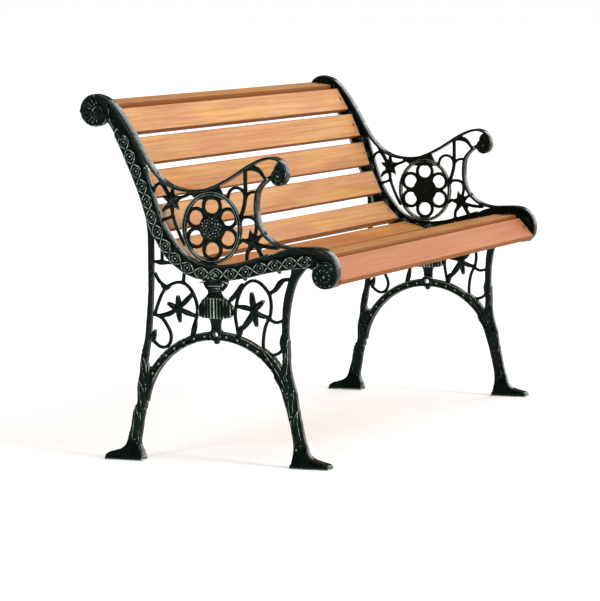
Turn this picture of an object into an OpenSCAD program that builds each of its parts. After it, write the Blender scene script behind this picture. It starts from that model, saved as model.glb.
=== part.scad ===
// Garden bench with two cast end frames and timber slats.
// X runs along the bench, the front faces -Y, Z is up.
// The origin is on the ground, at the middle of the bench's footprint.
//
// Every outline of an end frame is drawn in the frame's own plane.
// There the first number runs towards the front and the second runs up.

/* [Bench] */
// Overall length, over the outer faces of the end frames
bench_l = 1220; // [900:10:1800]

/* [End frames] */
// Width of the rails and scrolls, measured along the bench
rail_d = 24; // [20:1:26]
// Thickness of the rail strips, seen from the side
rail_t = 5.6; // [5:0.2:7]
// Thickness of the ornamental web of the band
web_t = 9; // [6:1:12]
// Thickness of the tracery between the rails
tracery_t = 8; // [6:1:10]
// Width of a leg, measured along the bench
leg_d = 16; // [12:1:20]
// Width of a foot, measured along the bench
foot_d = 28; // [22:1:32]
// Thickness of the ledge that carries the slats
ledge_t = 5; // [4:0.5:6]
// How far the ledge stands out from the inner face
ledge_reach = 26; // [22:1:32]

/* [Rose] */
// Half of the width of the ring around the rose
rose_rx = 64.5; // [63:0.5:65]
// Half of the height of the ring around the rose
rose_ry = 73; // [72:0.5:74]
// Thickness of that ring, seen from the side
rose_t = 8; // [7:0.5:9]
// Distance of the four petal rings at the sides from the middle of the rose
petal_pitch = 40; // [39:0.5:41]
// Distance of the top and bottom petal rings from the middle of the rose
petal_rise = 43.5; // [43:0.5:45]
// Outer radius of a petal ring
petal_r = 22; // [21.8:0.1:22.4]
// Thickness of a petal ring, seen from the side
petal_t = 7.4; // [6:0.2:8]
// Radius of the seed head
seed_r = 24.5; // [23:0.5:26]

/* [Arch] */
// Radius of the middle line of the leg arch
arch_r = 162; // [160:1:164]
// Thickness of the arch, seen from the side
arch_t = 17.4; // [15:0.2:17.6]
// Outer radius of the boss at the crown
boss_r = 13.6; // [13:0.2:14]
// Radius of the brace hole through the boss
brace_hole_r = 5.5; // [4:0.5:6]

/* [Slats] */
// Width of a back slat
back_w = 57; // [50:1:57]
// Width of a seat slat
seat_w = 55; // [50:1:55]
// Thickness of a slat
slat_t = 16; // [12:1:16]
// Radius of the eased edges
slat_edge_r = 2.5; // [1:0.5:4]
// Gap between a slat's end and the frame's inner face
end_gap = 1; // [0.5:0.5:2]

/* [Fasteners] */
// Bolt diameter
bolt_d = 5; // [4:1:6]
// Diameter of the countersunk bolt head
head_d = 9; // [9:1:11]
// Depth of the countersunk bolt head
head_h = 2.5; // [2:0.5:3]
// Width of the hexagon socket, across its flats
socket_af = 3; // [2:0.5:3]
// Washer outer diameter
washer_d = 12; // [11:1:16]
// Washer thickness
washer_t = 1.2; // [1:0.1:2]
// Nut width across flats
nut_af = 8; // [8:1:10]
// Nut height
nut_h = 4; // [4:0.5:6]

/* [Hidden] */
$fn = 48;
// Each slat: middle of its face, towards the front and up, then the slope of the face in degrees
BACK = [
  [-261.5, 720.5, -6],
  [-203.3, 685.1, -60],
  [-170.8, 625, -66.5],
  [-145.2, 558.2, -72],
  [-118.8, 492.5, -66],
  [-85.1, 428.6, -45.5]
];
SEAT = [
  [-25.5, 394, -16.5],
  [48, 395, 11],
  [122, 411, 11],
  [195.5, 421, 0],
  [247.5, 394.5, -48.7]
];
// Distance from the drawing axis of the frames to the middle of the bench's depth
frame_shift = 12.74;
bolt_x = rail_d + ledge_reach * 0.65;
hole_r = bolt_d / 2 + 0.5;
bolt_l = slat_t + ledge_t + washer_t + nut_h + 2;
socket_h = 1.6;
rose_at = [-5, 474];
arch_at = [1, 96.5];
boss_at = [1, 261];
knob_at = [2, 246.5];
rear_flower = [-81, 311];
front_flower = [83, 312];
web_x = 3;
tracery_x = 8;
leg_x = 6;

// A smooth curve through the points of a list, with n steps between two points
function at(p, i) = p[max(0, min(len(p) - 1, i))];
function curve_point(a, b, c, d, t) =
  (2 * b + (c - a) * t + (2 * a - 5 * b + 4 * c - d) * t * t + (3 * b - a - 3 * c + d) * t * t * t) / 2;
function smooth(p, n) = [
  for (i = [0:len(p) - 2]) for (k = [0:n - 1])
    curve_point(at(p, i - 1), at(p, i), at(p, i + 1), at(p, i + 2), k / n),
  p[len(p) - 1]
];
function flat(p) = [p[0], p[1]];
function back_to_front(p) = [for (i = [len(p) - 1:-1:0]) p[i]];
// One side of a bar: the middle line moved sideways by half of its width
function side(p, s) = [
  for (i = [0:len(p) - 1])
    let (d = flat(at(p, i + 1)) - flat(at(p, i - 1)))
      flat(p[i]) + s * p[i][2] / 2 * [-d[1], d[0]] / norm(d)
];
// A point given in a slat's own directions: along its face, and out of its face
function on_slat(s, p) = [
  s[0] + p[0] * cos(s[2]) - p[1] * sin(s[2]),
  s[1] + p[0] * sin(s[2]) + p[1] * cos(s[2])
];

// Round end of a bar: points on a half circle from one side of the end to the other
function cap(p, d) =
  let (a = atan2(d[1], d[0]))
    [for (t = [45, 0, -45]) flat(p) + p[2] / 2 * [cos(a + t), sin(a + t)]];

// A bar along a smooth middle line of points [front, up, width], with round ends
module bar(p, n = 3) {
  c = smooth(p, n);
  last = len(c) - 1;
  polygon(concat(
    side(c, 1), cap(c[last], c[last] - c[last - 1]),
    back_to_front(side(c, -1)), cap(c[0], c[0] - c[1])
  ));
}
// The same with one width all along
module rod(p, w = 5, n = 3) bar([for (q = p) [q[0], q[1], w]], n);
module star(at, r, turn) {
  translate(at) polygon([
    for (i = [0:9]) (i % 2 == 0 ? r : 0.45 * r) * [cos(turn + 36 * i), sin(turn + 36 * i)]
  ]);
}
module ring(at, r, w) {
  translate(at) difference() {
    circle(r);
    circle(r - w);
  }
}
module oval(at, rx, ry) {
  translate(at) polygon([for (a = [0:7.5:352.5]) [rx * cos(a), ry * sin(a)]]);
}
// Puts a drawing in the frame's plane, x0 in from the outer face and d thick
module plate(x0, d) {
  translate([-bench_l / 2, -frame_shift, 0]) mirror([0, 1, 0]) rotate([90, 0, 90])
    translate([0, 0, x0]) linear_extrude(d) children();
}
// Puts a piece at a slat, x0 in from the outer face: y is out of the slat's face
module at_slat(s, x0) {
  translate([-bench_l / 2, -frame_shift, 0]) mirror([0, 1, 0]) rotate([90, 0, 90])
    translate([s[0], s[1], x0]) rotate([0, 0, s[2]]) rotate([-90, 0, 0]) children();
}

// ---- outlines of the end frame ----
// Strip that runs from the back scroll down the front of the band and out along the arm
module arm_rail() {
  rod([
    [-257, 736], [-241, 733], [-226, 725], [-211, 711], [-196, 692], [-181, 669], [-166, 644],
    [-151, 617], [-139, 598], [-126, 582], [-110, 567], [-95, 557.5], [-79, 551.5], [-59, 548],
    [-39, 547.5], [-19, 549.5], [-4, 554], [14, 561.5], [34, 571.5], [54, 583.5], [72, 595],
    [88, 603.5], [103, 610], [117, 614], [130, 614.5], [143, 610], [152, 601.5], [157, 589],
    [156.5, 576], [150, 566]
  ], rail_t);
}
// Strip of the arm's front support, which runs on along the seat and round the front roll
module seat_rail() {
  rod([
    [119, 573], [109, 565], [100, 555], [94.5, 543], [92.5, 525], [92.5, 508], [95, 494],
    [99.5, 480], [107, 467], [118, 455.5], [133, 445], [150, 440], [167, 437.5], [188, 438],
    [210, 438.5], [229, 437], [244, 431.5], [256, 420], [262.5, 405], [263.2, 390], [260, 376],
    [251, 366]
  ], rail_t);
}
module back_scroll() translate([-257, 706]) circle(33);
module arm_scroll() {
  translate([142, 577]) circle(17);
  translate([145, 594]) circle(13);
}
module front_scroll() translate([238.5, 386]) circle(27.5);
// Ornamental band of the back and the seat
module band() {
  inner = smooth([
    [-228, 722], [-211, 709], [-196, 690], [-181, 667], [-166, 642], [-153, 618], [-147, 596],
    [-138, 567], [-128, 535], [-115, 496], [-104, 474], [-92, 456], [-78, 437], [-62, 420],
    [-45, 408], [-25, 400], [0, 396.5], [25, 398], [50, 402], [75, 408.5], [100, 415.5],
    [122, 423], [142, 432], [165, 436], [190, 436], [222, 434], [242, 428], [254, 417], [261, 402]
  ], 2);
  outer = smooth([
    [-245, 690], [-228, 679], [-213, 652], [-203, 632], [-194, 612], [-185, 592], [-176, 572],
    [-161, 535], [-150, 500], [-143, 480], [-135, 462], [-124, 443], [-112, 424], [-100, 409],
    [-86, 397], [-70, 386], [-52, 377], [-30, 371], [0, 369.5], [40, 371], [80, 378], [115, 386.5],
    [150, 392.5], [180, 397], [202, 399], [220, 396], [240, 392]
  ], 2);
  polygon(concat(inner, back_to_front(outer)));
}
module band_rim() {
  rod([
    [-147, 592], [-140, 566], [-130, 535], [-117, 496], [-106, 474], [-94, 456], [-80, 438],
    [-64, 421], [-46, 409.5], [-25, 402], [0, 398.5], [25, 400], [50, 404], [75, 410.5],
    [100, 417.5], [122, 425]
  ], 4);
}
// Ledge behind all slats but the front one, and a lug behind that one
function ends(slats, w, y) = [for (s = slats) for (e = [-1, 1]) on_slat(s, [e * w / 2, y])];
module ledge() {
  rests = [for (i = [0:3]) SEAT[i]];
  top = -slat_t;
  low = -slat_t - ledge_t;
  front = concat(ends(BACK, back_w, top), ends(rests, seat_w, top));
  rear = concat(ends(BACK, back_w, low), ends(rests, seat_w, low));
  polygon(concat(front, back_to_front(rear)));
  polygon(concat(ends([SEAT[4]], seat_w, top), back_to_front(ends([SEAT[4]], seat_w, low))));
}
module rear_leg() {
  outer = smooth([
    [-152, 503], [-149, 484], [-146.5, 462], [-146, 440], [-146, 400], [-146.5, 345], [-150, 300],
    [-152, 280], [-154, 258], [-157, 241], [-161.5, 226], [-165, 210], [-167, 195], [-168, 180],
    [-170, 170], [-173, 158], [-174, 148], [-174, 122], [-177, 113], [-182.5, 104], [-186, 88],
    [-189, 69], [-193, 57], [-196, 46], [-199, 36], [-204, 28], [-217, 21], [-236, 16], [-246, 9]
  ], 2);
  inner = smooth([
    [-136, 470], [-136, 430], [-136, 390], [-137.5, 340], [-140, 300], [-142.5, 266],
    [-144.5, 246], [-147, 232], [-150, 212], [-152.5, 200], [-151, 189], [-146, 178], [-141, 163],
    [-144.5, 152], [-148.5, 140], [-152, 130], [-155, 120], [-157, 110], [-158.5, 99], [-161, 89],
    [-163, 79], [-164.5, 69], [-166, 59], [-168, 49], [-170, 39], [-169, 30], [-165, 19], [-163, 8]
  ], 2);
  polygon(concat(outer, back_to_front(inner)));
}
module front_leg() {
  outer = smooth([
    [204, 404], [190.5, 391], [176.5, 372], [168.5, 350], [162.5, 325], [158.5, 298], [157, 270],
    [158.5, 245], [159.5, 220], [161.5, 195], [167.5, 170], [173, 152], [174.5, 138], [178, 118],
    [182, 98], [186, 78], [190, 60], [194.5, 46], [197, 36], [201, 27], [211, 19], [226, 14.5],
    [239, 11.5], [245, 8]
  ], 2);
  inner = smooth([
    [165, 400], [165, 388], [158, 368], [152, 348], [148, 330], [146, 310], [144.5, 285],
    [144, 262], [144.5, 236], [145, 213], [142, 200], [134, 192], [126, 183], [129, 174],
    [135.5, 165], [140, 155], [143.5, 145], [146.5, 135], [149.5, 125], [152.5, 115], [155, 105],
    [157.5, 95], [160, 85], [162, 75], [164, 65], [165.5, 55], [166.5, 45], [166.5, 35], [166, 26],
    [164.5, 16], [163, 8]
  ], 2);
  polygon(concat(outer, back_to_front(inner)));
}
module soles() {
  translate([-246, 0]) square([84, 8.5]);
  translate([160, 0]) square([85, 8.5]);
}
module arch() {
  intersection() {
    ring(arch_at, arch_r + arch_t / 2, arch_t);
    translate([-163, 120]) square([328, 160]);
  }
  translate(boss_at) circle(boss_r);
  translate(knob_at) circle(5);
}
// Ribbed vase between the seat and the arch
module vase() {
  polygon([
    [-8.2, 270], [-8.5, 278], [-10, 288], [-12, 293], [-25, 294.5], [-32, 297], [-34.5, 302],
    [-35, 308], [-33.5, 318], [-29.5, 327], [-24, 333], [-19, 337], [-15, 343], [-14, 350],
    [-15, 361], [-21, 366], [-26, 378], [27, 378], [21, 366], [15, 361], [13.5, 350], [14, 343],
    [18, 337], [23, 333], [32, 327], [37.5, 318], [39, 308], [38.5, 302], [35, 297], [28, 294.5],
    [15, 293], [13, 288], [12, 278], [12, 270]
  ]);
  for (s = [-1, 1])
    bar([[2 + s * 14, 350, 5], [2 + s * 21, 360, 8], [2 + s * 24, 371, 7]]);
}
// Pointed frame in the band, over the vase's neck
module vase_crown() {
  rod([[-29, 365], [-15, 371], [-7, 379], [0, 385], [8, 379], [17, 371], [30, 366]], 3.6);
}
module rose() {
  difference() {
    oval(rose_at, rose_rx, rose_ry);
    oval(rose_at, rose_rx - rose_t, rose_ry - rose_t);
  }
  for (i = [0:5])
    ring(rose_at + (i % 3 == 0 ? petal_rise : petal_pitch) * [cos(90 + 60 * i), sin(90 + 60 * i)],
      petal_r, petal_t);
  translate(rose_at) circle(seed_r + 4);
}
// Solid web where the rose ring meets the arm rail
module rose_fillet() polygon([[-62, 546], [-38, 530], [26, 530], [12, 558], [-10, 549], [-36, 545]]);
module stars() {
  star([-91, 528], 26, 90);
  star([83, 449], 26, 33);
}
module arm_tracery() {
  rod([[-133, 545], [-128, 556], [-118, 561], [-109, 555], [-102, 544], [-97, 536]], 6.1);
  rod([[-124, 580], [-113, 562], [-101, 541]], 7.6);
  rod([[-91, 545], [-90, 558]], 6.6);
  rod([[-75, 533], [-60, 538], [-46, 546]], 6.6);
  rod([[-92, 515], [-91, 500], [-85, 480], [-74, 455], [-66, 440]], 6.6);
  rod([[-112, 505], [-107, 514], [-98, 516], [-92, 510]], 6.1);
  rod([[-111, 489], [-101, 492], [-90, 496]], 6.1);
  rod([[68, 590], [68, 568], [68, 545], [66, 524], [60, 504], [56, 496]], 7.6);
  rod([[29, 532], [34, 548], [47, 555], [60, 551], [68, 540]], 6.1);
  rod([[69, 538], [79, 546], [95, 547]], 6.1);
  rod([[56, 488], [63, 496], [76, 497], [88, 492], [91, 478], [88, 462]], 6.6);
  rod([[102, 461], [111, 466]], 6.6);
  rod([[76, 436], [70, 424], [70, 410]], 6.6);
  rod([[62, 452], [54, 446]], 6.6);
  rod([[92, 438], [99, 426], [104, 418]], 8.6);
  rod([[92, 444], [112, 439], [136, 437]], 7.6);
  rod([[112, 569], [122, 576], [130, 576]], 8.6);
  bar([[70, 592, 7], [86, 594, 11], [100, 588, 9], [110, 575, 6], [117, 573, 6]]);
}
module rear_vine() {
  rod([
    [-134, 298], [-124, 325], [-113, 346], [-97, 359], [-77, 364], [-60, 357], [-47, 339],
    [-40, 317], [-41, 297], [-47, 279], [-52, 260]
  ], 6.6);
  rod([[-70, 363], [-67, 388]], 6.6);
  rod([[-132, 380], [-122, 364], [-105, 352]], 6.6);
  rod([
    [-134, 298], [-117, 290], [-103, 270], [-98, 254], [-102, 239], [-113, 232], [-125, 234],
    [-136, 243]
  ], 6.6);
  rod([[-132, 404], [-96, 402]], 6.6);
  rod([[-116, 404], [-116, 432]], 6.1);
  bar([[-81, 311, 7], [-81, 322, 12], [-82, 334, 8]]);
  bar([[-81, 311, 7], [-66, 325, 11], [-50, 341, 8]]);
  bar([[-81, 311, 7], [-62, 303, 11], [-43, 297, 6]]);
  bar([[-81, 311, 7], [-80, 298, 11], [-78, 285, 6]]);
  bar([[-81, 311, 7], [-104, 299, 11], [-124, 296, 6]]);
  bar([[-81, 311, 7], [-92, 315, 11], [-102, 320, 8]]);
  bar([[-138, 244, 6], [-137, 254, 12], [-133, 266, 5]]);
  bar([[-50, 258, 6], [-47, 270, 11], [-43, 284, 6]]);
  bar([[-128, 404, 6], [-118, 403, 11], [-106, 402, 6]]);
  bar([[-116, 356, 6], [-108, 352, 11], [-100, 356, 6]]);
  translate(rear_flower) circle(7);
}
module front_vine() {
  rod([
    [50, 258], [46, 280], [43, 300], [45, 320], [52, 343], [64, 362], [80, 371], [95, 368],
    [108, 357], [118, 342], [121, 322], [119, 305], [116, 296]
  ], 6.6);
  rod([[34, 332], [46, 345], [58, 361]], 9.6);
  rod([[119, 347], [131, 355], [139, 368], [148, 374], [164, 376]], 7.6);
  rod([[116, 297], [127, 290], [140, 291], [153, 298]], 6.6);
  rod([
    [116, 297], [108, 280], [104, 260], [103, 240], [108, 228], [118, 224], [131, 226], [142, 233],
    [152, 248]
  ], 6.6);
  bar([[83, 312, 7], [81, 327, 13], [79, 345, 8]]);
  bar([[83, 312, 7], [93, 321, 13], [103, 330, 8]]);
  bar([[83, 312, 7], [65, 317, 11], [47, 319, 6]]);
  bar([[83, 312, 7], [72, 291, 13], [56, 272, 7]]);
  bar([[83, 312, 7], [86, 297, 12], [89, 282, 7]]);
  bar([[83, 312, 7], [99, 302, 10], [116, 299, 6]]);
  bar([[51, 258, 7], [53, 268, 11], [55, 279, 5]]);
  bar([[144, 238, 6], [144, 250, 11], [144, 263, 5]]);
  bar([[119, 348, 5], [130, 354, 9], [141, 368, 11], [150, 375, 6]]);
  translate(front_flower) circle(7.5);
}

// ---- sub-parts ----
module end_frame() {
  difference() {
    union() {
      plate(0, rail_d) {
        arm_rail();
        seat_rail();
        back_scroll();
        arm_scroll();
        front_scroll();
      }
      plate(web_x, web_t) band();
      plate(0, rail_d - 8) band_rim();
      plate(web_x, rail_d + ledge_reach - web_x) ledge();
      plate(tracery_x, tracery_t) {
        rose();
        rose_fillet();
        stars();
        arm_tracery();
        rear_vine();
        front_vine();
      }
      plate(1, 11) vase_crown();
      plate(web_x, 15) {
        vase();
        translate(rose_at) circle(seed_r);
      }
      plate(leg_x, leg_d) {
        rear_leg();
        front_leg();
        arch();
      }
      plate(0, foot_d) soles();
    }
    plate(-1, rail_d + 2) translate(boss_at) circle(brace_hole_r);
    for (s = concat(BACK, SEAT))
      at_slat(s, bolt_x) translate([0, 0, -slat_t - ledge_t - 1]) cylinder(r = hole_r, h = ledge_t + 2);
  }
}
module to_right() mirror([1, 0, 0]) children();

module slat(s, w) {
  l = bench_l - 2 * (rail_d + end_gap);
  e = slat_edge_r;
  difference() {
    plate(rail_d + end_gap, l) translate([s[0], s[1]]) rotate(s[2]) {
      translate([-w / 2 + e, -slat_t]) square([w - 2 * e, slat_t]);
      translate([-w / 2, -slat_t + e]) square([w, slat_t - 2 * e]);
      for (x = [-w / 2 + e, w / 2 - e]) for (y = [-slat_t + e, -e])
        translate([x, y]) circle(e);
    }
    for (x = [bolt_x, bench_l - bolt_x]) at_slat(s, x) {
      translate([0, 0, -slat_t - 1]) cylinder(r = hole_r, h = slat_t + 2);
      translate([0, 0, -head_h]) cylinder(d1 = bolt_d + 0.1, d2 = head_d + 0.1, h = head_h);
    }
  }
}
module bolt() {
  difference() {
    union() {
      translate([0, 0, -head_h]) cylinder(d1 = bolt_d, d2 = head_d, h = head_h);
      translate([0, 0, -bolt_l]) cylinder(d = bolt_d, h = bolt_l - head_h / 2);
    }
    translate([0, 0, -socket_h]) cylinder(d = socket_af / cos(30), h = socket_h + 1, $fn = 6);
  }
}
module washer() {
  translate([0, 0, -slat_t - ledge_t - washer_t]) difference() {
    cylinder(d = washer_d, h = washer_t);
    translate([0, 0, -1]) cylinder(r = hole_r, h = washer_t + 2);
  }
}
module nut() {
  translate([0, 0, -slat_t - ledge_t - washer_t - nut_h]) difference() {
    cylinder(d = nut_af / cos(30), h = nut_h, $fn = 6);
    translate([0, 0, -1]) cylinder(d = bolt_d + 0.1, h = nut_h + 2);
  }
}
module row(slats) {
  for (s = slats) at_slat(s, bolt_x) children();
}

module end_frame_left() color("#1f2b26") end_frame();
module end_frame_right() color("#1f2b26") to_right() end_frame();
module back_wood(i) color("#d99a5f") slat(BACK[i], back_w);
module seat_wood(i) color("#d99a5f") slat(SEAT[i], seat_w);
module steel() color("#3b4240") children();

end_frame_left();
end_frame_right();
back_wood(0);  // back_slat_1
back_wood(1);  // back_slat_2
back_wood(2);  // back_slat_3
back_wood(3);  // back_slat_4
back_wood(4);  // back_slat_5
back_wood(5);  // back_slat_6
seat_wood(0);  // seat_slat_1
seat_wood(1);  // seat_slat_2
seat_wood(2);  // seat_slat_3
seat_wood(3);  // seat_slat_4
seat_wood(4);  // seat_slat_5
steel() row(BACK) bolt();  // back_bolts_left
steel() to_right() row(BACK) bolt();  // back_bolts_right
steel() row(SEAT) bolt();  // seat_bolts_left
steel() to_right() row(SEAT) bolt();  // seat_bolts_right
steel() row(BACK) washer();  // back_washers_left
steel() to_right() row(BACK) washer();  // back_washers_right
steel() row(SEAT) washer();  // seat_washers_left
steel() to_right() row(SEAT) washer();  // seat_washers_right
steel() row(BACK) nut();  // back_nuts_left
steel() to_right() row(BACK) nut();  // back_nuts_right
steel() row(SEAT) nut();  // seat_nuts_left
steel() to_right() row(SEAT) nut();  // seat_nuts_right
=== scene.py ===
# Garden bench: two cast end frames, eleven timber slats and the bolts that hold them.
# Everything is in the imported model's frame: X along the bench, the front faces -Y, Z up, metres.
# The end frames are drawn in their own plane, in millimetres: u runs towards the front, v runs up
# and x is the depth in from the frame's outer face.
import math

import bpy
import numpy as np
from mathutils import Matrix, Vector


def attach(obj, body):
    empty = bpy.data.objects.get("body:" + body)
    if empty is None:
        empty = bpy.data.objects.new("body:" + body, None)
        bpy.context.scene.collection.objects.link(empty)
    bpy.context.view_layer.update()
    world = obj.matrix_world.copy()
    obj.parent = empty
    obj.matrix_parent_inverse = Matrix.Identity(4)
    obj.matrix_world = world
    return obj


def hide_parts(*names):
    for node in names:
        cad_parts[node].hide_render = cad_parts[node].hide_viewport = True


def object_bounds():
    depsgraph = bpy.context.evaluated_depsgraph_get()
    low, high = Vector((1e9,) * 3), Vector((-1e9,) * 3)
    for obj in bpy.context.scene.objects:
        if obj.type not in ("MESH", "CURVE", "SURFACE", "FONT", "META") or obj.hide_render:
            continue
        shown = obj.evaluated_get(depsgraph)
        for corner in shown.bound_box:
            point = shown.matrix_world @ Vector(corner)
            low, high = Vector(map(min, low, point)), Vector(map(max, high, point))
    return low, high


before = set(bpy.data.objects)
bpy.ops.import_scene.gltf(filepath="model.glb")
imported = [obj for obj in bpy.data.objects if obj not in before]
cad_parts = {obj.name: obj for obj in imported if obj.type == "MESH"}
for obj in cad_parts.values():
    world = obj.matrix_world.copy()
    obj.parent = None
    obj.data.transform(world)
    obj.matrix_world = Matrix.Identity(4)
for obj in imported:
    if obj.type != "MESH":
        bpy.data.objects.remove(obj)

cad_low, cad_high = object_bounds()
MM = 0.001
BENCH_HALF = cad_high[0]          # from the middle to the outer face of an end frame, m
RAIL_X = 24.0                     # depth of the rails and scrolls
WEB_X = (3.0, 12.0)               # outer and inner face of the band's web
TRACERY_X = (8.0, 16.0)           # the same for the tracery
LEG_X = (6.0, 22.0)               # for the legs and the arch
SOLE_X = 28.0                     # depth of a foot
LEDGE_REACH = 26.0                # how far the ledge behind the slats stands out from the rails
LEDGE_X = RAIL_X + LEDGE_REACH
LEDGE_T = 5.0                     # thickness of the ledge
BACK_W, SEAT_W = 57.0, 55.0       # width of a back slat and of a seat slat
SLAT_T = 16.0                     # thickness of a slat
SLAT_EDGE_R = 2.5                 # radius of its eased edges
END_GAP = 1.0                     # between a slat's end and the frame
BOLT_X = RAIL_X + 0.65 * LEDGE_REACH
BOLT_HOLE_R = 3.0
BRACE_HOLE_R = 5.5

# Each slat: middle of its face (u, v), then the slope of the face in degrees
BACK = [(-261.5, 720.5, -6), (-203.3, 685.1, -60), (-170.8, 625, -66.5),
        (-145.2, 558.2, -72), (-118.8, 492.5, -66), (-85.1, 428.6, -45.5)]
SEAT = [(-25.5, 394, -16.5), (48, 395, 11), (122, 411, 11), (195.5, 421, 0), (247.5, 394.5, -48.7)]

FRAME_SHIFT = 12.74               # from the frames' drawing axis to the middle of the bench's depth


# ---------------------------------------------------------------- camera, light and floor
CAMERA_PLACE = (-6.46368, -2.67436, 0.96559)
AZIMUTH, DOWN, ROLL = math.radians(22.91), math.radians(5.657), math.radians(-0.5565)
SENSOR, LENS = 36.0, 194.74       # mm


def camera():
    data = bpy.data.cameras.new("camera")
    data.sensor_width = SENSOR
    data.lens = LENS
    data.clip_start, data.clip_end = 0.1, 100
    ob = bpy.data.objects.new("camera", data)
    ahead = Vector((math.cos(AZIMUTH) * math.cos(DOWN), math.sin(AZIMUTH) * math.cos(DOWN),
                    -math.sin(DOWN)))
    right = ahead.cross(Vector((0, 0, 1))).normalized()
    up = right.cross(ahead)
    turned_right = right * math.cos(ROLL) + up * math.sin(ROLL)
    turned_up = up * math.cos(ROLL) - right * math.sin(ROLL)
    turn = Matrix((turned_right, turned_up, -ahead)).transposed().to_4x4()
    ob.matrix_world = Matrix.Translation(CAMERA_PLACE) @ turn
    bpy.context.collection.objects.link(ob)
    bpy.context.scene.camera = ob


def sun(name, direction, strength, spread, colour=(1, 1, 1)):
    """Light from far away that travels in a direction; a wide spread gives soft shadows."""
    data = bpy.data.lights.new(name, "SUN")
    data.energy = strength
    data.angle = math.radians(spread)
    data.color = colour
    ob = bpy.data.objects.new(name, data)
    ob.rotation_euler = Vector(direction).to_track_quat("-Z", "Y").to_euler()
    bpy.context.collection.objects.link(ob)


def studio():
    """White to the camera, dim to everything else, with four soft lights."""
    world = bpy.data.worlds.new("studio")
    world.use_nodes = True
    tree = world.node_tree
    dim = tree.nodes["Background"]
    seen = tree.nodes.new("ShaderNodeBackground")
    for node, strength in ((dim, 0.15), (seen, 1.0)):
        node.inputs["Color"].default_value = (1.0, 1.0, 1.0, 1)
        node.inputs["Strength"].default_value = strength
    pick = tree.nodes.new("ShaderNodeMixShader")
    tree.links.new(tree.nodes.new("ShaderNodeLightPath").outputs["Is Camera Ray"], pick.inputs["Fac"])
    tree.links.new(dim.outputs[0], pick.inputs[1])
    tree.links.new(seen.outputs[0], pick.inputs[2])
    tree.links.new(pick.outputs[0], tree.nodes["World Output"].inputs["Surface"])
    bpy.context.scene.world = world
    bpy.context.scene.view_settings.view_transform = "Standard"
    sun("key", (0.22, 0.92, -0.46), 2.2, 18, (1.0, 0.99, 0.975))
    sun("over", (0.05, 0.12, -1.0), 1.0, 60)
    sun("right", (-0.92, 0.25, -0.28), 1.6, 40)
    sun("edge", (0.80, -0.05, -0.60), 0.55, 8, (0.97, 0.99, 1.0))


def floor():
    """A wide pale disc, which glows a little so that it stays as light as what lies behind it."""
    radius, sides = 60.0, 96
    rim = [(radius * math.cos(2 * math.pi * i / sides), radius * math.sin(2 * math.pi * i / sides), 0)
           for i in range(sides)]
    mesh = bpy.data.meshes.new("floor")
    mesh.from_pydata(rim, [], [range(sides)])
    ob = bpy.data.objects.new("floor", mesh)
    bpy.context.collection.objects.link(ob)
    material = bpy.data.materials.new("pale_floor")
    material.use_nodes = True
    shader = material.node_tree.nodes["Principled BSDF"]
    shader.inputs["Base Color"].default_value = (0.95, 0.95, 0.95, 1)
    shader.inputs["Emission Color"].default_value = (1.0, 1.0, 1.0, 1)
    shader.inputs["Emission Strength"].default_value = 0.30
    shader.inputs["Roughness"].default_value = 0.8
    shader.inputs["Specular IOR Level"].default_value = 0.1
    mesh.materials.append(material)


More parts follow.
